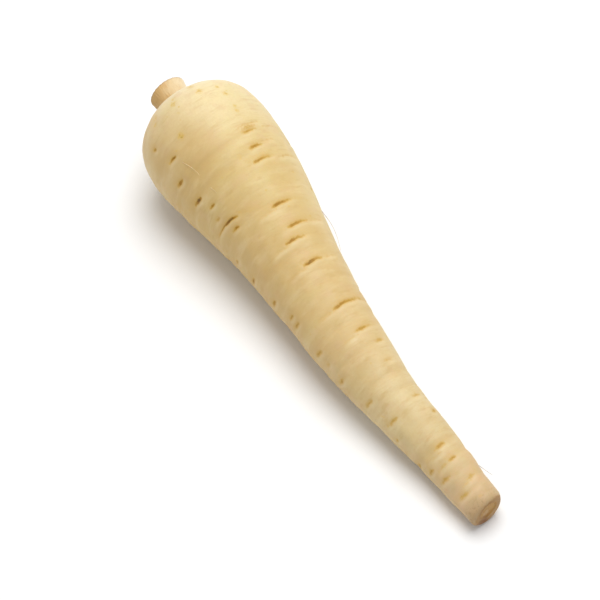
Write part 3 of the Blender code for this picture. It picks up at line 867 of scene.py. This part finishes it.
def stub_material():
    stalk = Shading("dry_leaf_stalk")
    place = stalk.place()
    parts = stalk.add("SeparateXYZ", {0: place})
    blotches = stalk.noise(stalk.place((0.25, 0.5, 0.5)), 0.6, 4)
    across = stalk.plus(stalk.times(parts.outputs[1], -1), stalk.fade(blotches, 0.3, 0.7, -2, 2))
    # Partly the stalk's own tan, partly painted shade: darker towards the -Y side, away from the key light.
    colour = stalk.stops(across, *zip(*STALK_TONES))
    fibres = stalk.noise(stalk.place((0.1, 1.6, 1.6)), 1.4, 3, 0.6)
    foot = stalk.times(stalk.fade(parts.outputs[0], -7, -1.5), stalk.fade(across, 3, -4, 0, 0.8))
    colour = stalk.blend(foot, colour, STALK_FOOT)
    colour = stalk.blend(stalk.fade(fibres, 0.5, 0.75, 0, 0.24), colour, STALK_DARK)
    colour = stalk.blend(stalk.fade(blotches, 0.5, 0.75, 0, 0.3), colour, STALK_PINK)
    colour = stalk.blend(stalk.times(stalk.mark("lap"), 0.3), colour, STALK_DARK)
    edge = stalk.fade(stalk.plus(parts.outputs[0], stalk.fade(fibres, 0.3, 0.7, -0.3, 0.3)), -11.2, -11.8)
    colour = stalk.blend(stalk.times(edge, 0.5), colour, STALK_DARK)
    cut = stalk.times(stalk.mark("cut"), stalk.fade(blotches, 0.3, 0.7, 0.5, 0.9))
    colour = stalk.blend(cut, colour, STALK_CUT)
    # Painted shade: the gaps between the sheaths on the cut end are made nearly black.
    colour = stalk.blend(stalk.times(stalk.mark("gap"), 0.85), colour, STALK_GAP_SHADE)
    stalk.set(Base_Color=colour, Roughness=stalk.fade(fibres, 0.3, 0.7, 0.6, 0.8))
    stalk.bumped(fibres, 0.0003, 0.5)
    return stalk.material


def hair_material(name, tones):
    hair = Shading(name)
    tone = hair.noise(hair.add("TexCoord").outputs["Object"], 400, 3)
    hair.set(Base_Color=hair.blend(hair.fade(tone, 0.35, 0.65), *tones), Roughness=0.6,
             Subsurface_Weight=0.2, Subsurface_Scale=0.0005)
    return hair.material


def floor_material():
    floor = Shading("pale_floor")
    tone = floor.noise(floor.add("TexCoord").outputs["Object"], 6, 2)
    floor.set(Base_Color=floor.blend(floor.fade(tone, 0.3, 0.7), *FLOOR_TONES), Roughness=0.7)
    return floor.material


# ------------------------------------------------------------------ pieces

def dress(piece, material, node):
    """Gives the piece its material, and puts it in the place of a node of the frame."""
    piece.data.materials.clear()
    piece.data.materials.append(material)
    piece.data.shade_smooth()
    piece.data.set_sharp_from_angle(angle=math.radians(50))
    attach(piece, "root")
    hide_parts(node)


def make_pieces():
    root_points, root_place, root_marks = root_skin()
    stub_points, stub_place, stub_marks = stub_skin()
    low = np.minimum(root_points.min(axis=(0, 1)), stub_points.min(axis=(0, 1)))
    high = np.maximum(root_points.max(axis=(0, 1)), stub_points.max(axis=(0, 1)))
    shift = np.array([-(low[0] + high[0]) / 2, -(low[1] + high[1]) / 2, -low[2] - REST_FLAT_DEPTH])

    skin = skin_mesh("parsnip_root", root_points + shift, root_place, root_marks)
    spotted = [number for number, mark in enumerate(skin.attributes["spot"].data)
               if mark.value > SPOT_SHOWS]
    root = thinned("parsnip_root", skin, ROOT_TRIANGLES, spotted)
    press_flat(root)
    dress(root, root_material(), "root")
    stub = thinned("leaf_stub", skin_mesh("leaf_stub", stub_points + shift, stub_place,
                                          stub_marks), STUB_TRIANGLES)
    dress(stub, stub_material(), "leaf_stump")
    return shift


def hair_tube(hair, radius, shift):
    """Vertices and faces of one fine hair, rising from the skin and bending towards the tip."""
    along, degrees, length, bend, height, arch = hair
    steps = np.linspace(0, 1, HAIR_STEPS)
    path_along = along + length * steps
    turn = np.radians(degrees + bend * np.sin(steps * 1.8))
    rise = steps * (1 - arch) + np.sin(steps * math.pi * 0.92) * arch
    out = smooth_through(TAPER, path_along) + height * rise - HAIR_SUNK
    path = laid_down(placed(path_along, turn, out)) + shift
    path[:, 2] = np.maximum(path[:, 2], 2 * radius)
    return tube(path * MM, radius * MM * (1 - HAIR_THINS * steps))


def add_hairs(name, hairs, radius, tones, shift):
    """One piece of several hairs, in a colour between the two tones."""
    points, faces = [], []
    for hair in hairs:
        tube_points, tube_faces = hair_tube(hair, radius, shift)
        faces += [tuple(len(points) + corner for corner in face) for face in tube_faces]
        points += tube_points.tolist()
    mesh = bpy.data.meshes.new(name)
    mesh.from_pydata(points, [], faces)
    mesh.shade_smooth()
    mesh.materials.append(hair_material(name, tones))
    piece = bpy.data.objects.new(name, mesh)
    bpy.context.scene.collection.objects.link(piece)
    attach(piece, "root")


# ------------------------------------------------------------------ the stage

def add_floor():
    mesh = bpy.data.meshes.new("floor")
    far, low = FLOOR_REACH, -FLOOR_DROP
    mesh.from_pydata([(-far, -far, low), (far, -far, low), (far, far, low), (-far, far, low)], [],
                     [(0, 1, 2, 3)])
    mesh.materials.append(floor_material())
    floor = bpy.data.objects.new("floor", mesh)
    bpy.context.scene.collection.objects.link(floor)


def add_softbox(name, place, size, power, target):
    light = bpy.data.lights.new(name, "AREA")
    light.shape = "DISK"
    light.size = size
    light.energy = power
    lamp = bpy.data.objects.new(name, light)
    lamp.location = place
    lamp.rotation_euler = (Vector(target) - Vector(place)).to_track_quat("-Z", "Y").to_euler()
    bpy.context.scene.collection.objects.link(lamp)


def add_light():
    world = bpy.data.worlds.new("studio")
    world.use_nodes = True
    background = world.node_tree.nodes["Background"]
    background.inputs["Color"].default_value = (1, 1, 1, 1)
    background.inputs["Strength"].default_value = ROOM_LIGHT
    bpy.context.scene.world = world
    add_softbox("key", KEY_PLACE, KEY_SIZE, KEY_POWER, KEY_AIM)
    bpy.context.scene.view_settings.view_transform = "Standard"


def add_camera():
    azimuth, elevation = math.radians(CAMERA_AZIMUTH), math.radians(CAMERA_ELEVATION)
    back = Vector((math.sin(azimuth) * math.cos(elevation),
                   -math.cos(azimuth) * math.cos(elevation), math.sin(elevation)))
    camera = bpy.data.cameras.new("camera")
    camera.lens = CAMERA_LENS
    camera.sensor_width = CAMERA_SENSOR
    camera.clip_start, camera.clip_end = 0.05, 20
    holder = bpy.data.objects.new("camera", camera)
    holder.location = Vector(CAMERA_TARGET) + back * CAMERA_DISTANCE
    holder.rotation_euler = (-back).to_track_quat("-Z", "Y").to_euler()
    bpy.context.scene.collection.objects.link(holder)
    bpy.context.scene.camera = holder


ground_shift = make_pieces()
add_hairs("standing_hairs", STANDING_HAIRS, HAIR_RADIUS, DRY_HAIR_TONES, ground_shift)
add_hairs("lying_hairs", LYING_HAIRS, LYING_HAIR_RADIUS, PALE_HAIR_TONES, ground_shift)
add_floor()
add_light()
add_camera()
